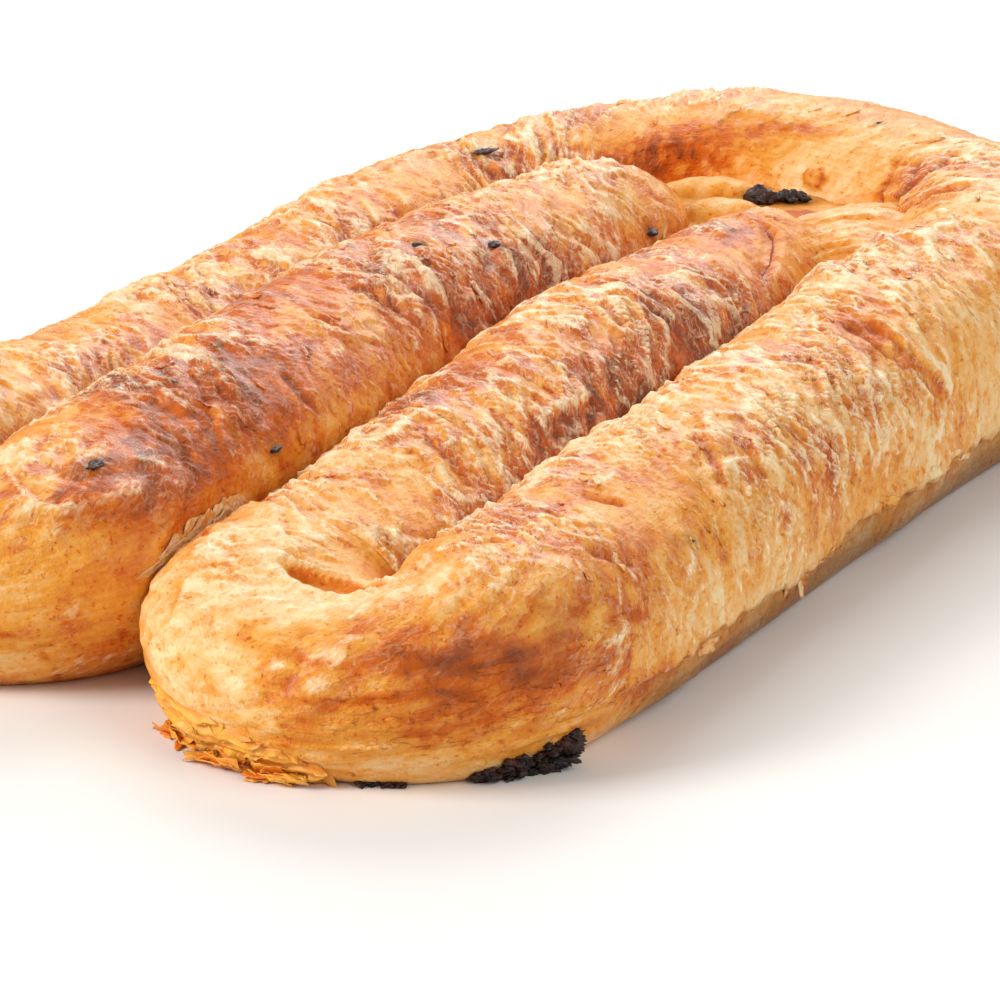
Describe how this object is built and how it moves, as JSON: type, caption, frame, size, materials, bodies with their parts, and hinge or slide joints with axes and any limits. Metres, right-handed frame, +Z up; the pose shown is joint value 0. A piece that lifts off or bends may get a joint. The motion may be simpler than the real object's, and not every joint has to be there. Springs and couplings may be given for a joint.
{
  "type": "potato borek",
  "caption": "Baked rope of flaky filled dough folded back and forth into a flat M, its legs pressed together, lying on its base.",
  "frame": {"origin": "middle of the base, on the surface the borek lies on", "axes": "+Z up, +Y along the legs towards the wide arc, +X across the legs towards the outer right leg"},
  "size_m": [0.191, 0.3216, 0.0454],
  "materials": {
    "crust": "baked flaky crust with a soft egg-wash sheen"
  },
  "bodies": {
    "root": {"borek": "crust"}
  },
  "joints": []
}
